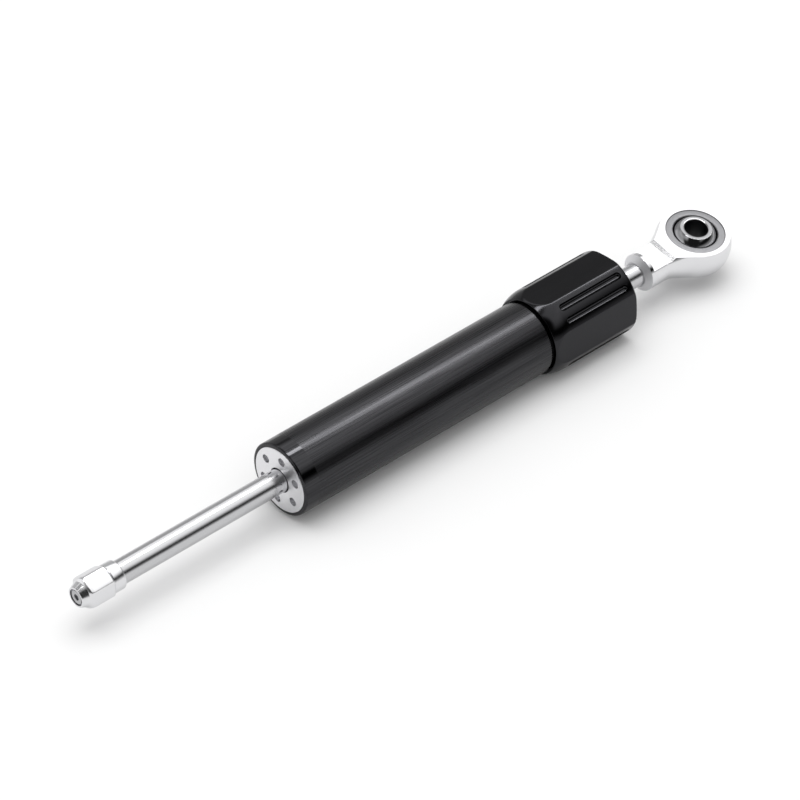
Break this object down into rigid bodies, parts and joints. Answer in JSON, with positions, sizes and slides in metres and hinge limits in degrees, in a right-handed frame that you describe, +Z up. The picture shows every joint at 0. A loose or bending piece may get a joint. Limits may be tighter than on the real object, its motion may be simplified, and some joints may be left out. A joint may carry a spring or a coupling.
{
  "type": "steering damper",
  "caption": "Linear motorcycle steering damper: black tube on a bright through rod, gland with pin holes, flatted and slotted end cap, adjuster knob and spherical rod end.",
  "frame": {"origin": "on the rod's axis, halfway along the tube that the clamp holds", "axes": "+X along the rod towards the rod end, +Z up, square to the end cap's upper flat"},
  "size_m": [0.3498, 0.0344, 0.0344],
  "materials": {
    "black_anodised": "satin black anodised",
    "dark_anodised": "satin dark grey anodised",
    "machined_alloy": "fine turned",
    "chromed_rod": "hard chromed and ground",
    "ball_chrome": "hard chromed and polished",
    "plated_steel": "bright zinc plated",
    "race_steel": "matt grey",
    "spring_steel": "oiled",
    "stainless": "fine turned",
    "bronze": "plain bearing bronze",
    "rubber_black": "moulded nitrile",
    "band_plastic": "bronze filled slide band"
  },
  "bodies": {
    "body": {"outer_tube": "black_anodised", "front_gland": "machined_alloy", "front_wiper": "rubber_black", "front_bush": "bronze", "front_rod_seal": "rubber_black", "front_seal_washer": "spring_steel", "front_o_ring": "rubber_black", "rear_bulkhead": "machined_alloy", "bulkhead_bush": "bronze", "bulkhead_o_ring": "rubber_black", "rear_cap": "dark_anodised", "rear_bush": "bronze", "rear_rod_seal": "rubber_black", "rear_seal_clip": "spring_steel", "rear_wiper": "rubber_black", "float_spring": "spring_steel"},
    "slider": {"piston_band": "band_plastic"},
    "rod": {"piston_rod": "chromed_rod", "piston": "machined_alloy", "piston_shim_front": "spring_steel", "piston_shim_rear": "spring_steel", "piston_clip_front": "spring_steel", "piston_clip_rear": "spring_steel", "rod_end_body": "plated_steel", "rod_end_race": "race_steel", "detent_collar": "machined_alloy", "detent_ball": "ball_chrome", "detent_spring": "spring_steel"},
    "knob": {"adjuster_knob": "machined_alloy", "adjuster_spindle": "stainless"},
    "needle": {"metering_needle": "stainless"},
    "float": {"float_piston": "machined_alloy", "float_outer_ring": "rubber_black", "float_inner_ring": "rubber_black"},
    "ball": {"rod_end_ball": "ball_chrome"}
  },
  "joints": [
    {"name": "rod_slide", "type": "slide", "parent": "body", "child": "slider", "axis": [1, 0, 0], "range_m": [-0.005, 0.075]},
    {"name": "rod_turn", "type": "hinge", "parent": "slider", "child": "rod", "pos_m": [0, 0, 0], "axis": [1, 0, 0], "continuous": true},
    {"name": "adjuster_turn", "type": "hinge", "parent": "rod", "child": "knob", "pos_m": [-0.16, 0, 0], "axis": [1, 0, 0], "range_deg": [0, 811]},
    {"name": "needle_feed", "type": "slide", "parent": "rod", "child": "needle", "axis": [1, 0, 0], "range_m": [0, 0.0018]},
    {"name": "float_slide", "type": "slide", "parent": "body", "child": "float", "axis": [1, 0, 0], "range_m": [-0.003, 0.005], "stiffness_N_per_m": 800, "deforming": ["float_spring"]},
    {"name": "ball_tilt", "type": "hinge", "parent": "rod", "child": "ball", "pos_m": [0.16465, 0, 0], "axis": [0, 0.969, 0.247], "range_deg": [-12, 12]}
  ],
  "couplings": [
    {"joint": "adjuster_turn", "follows": "needle_feed", "rad_per_m": 7854}
  ]
}
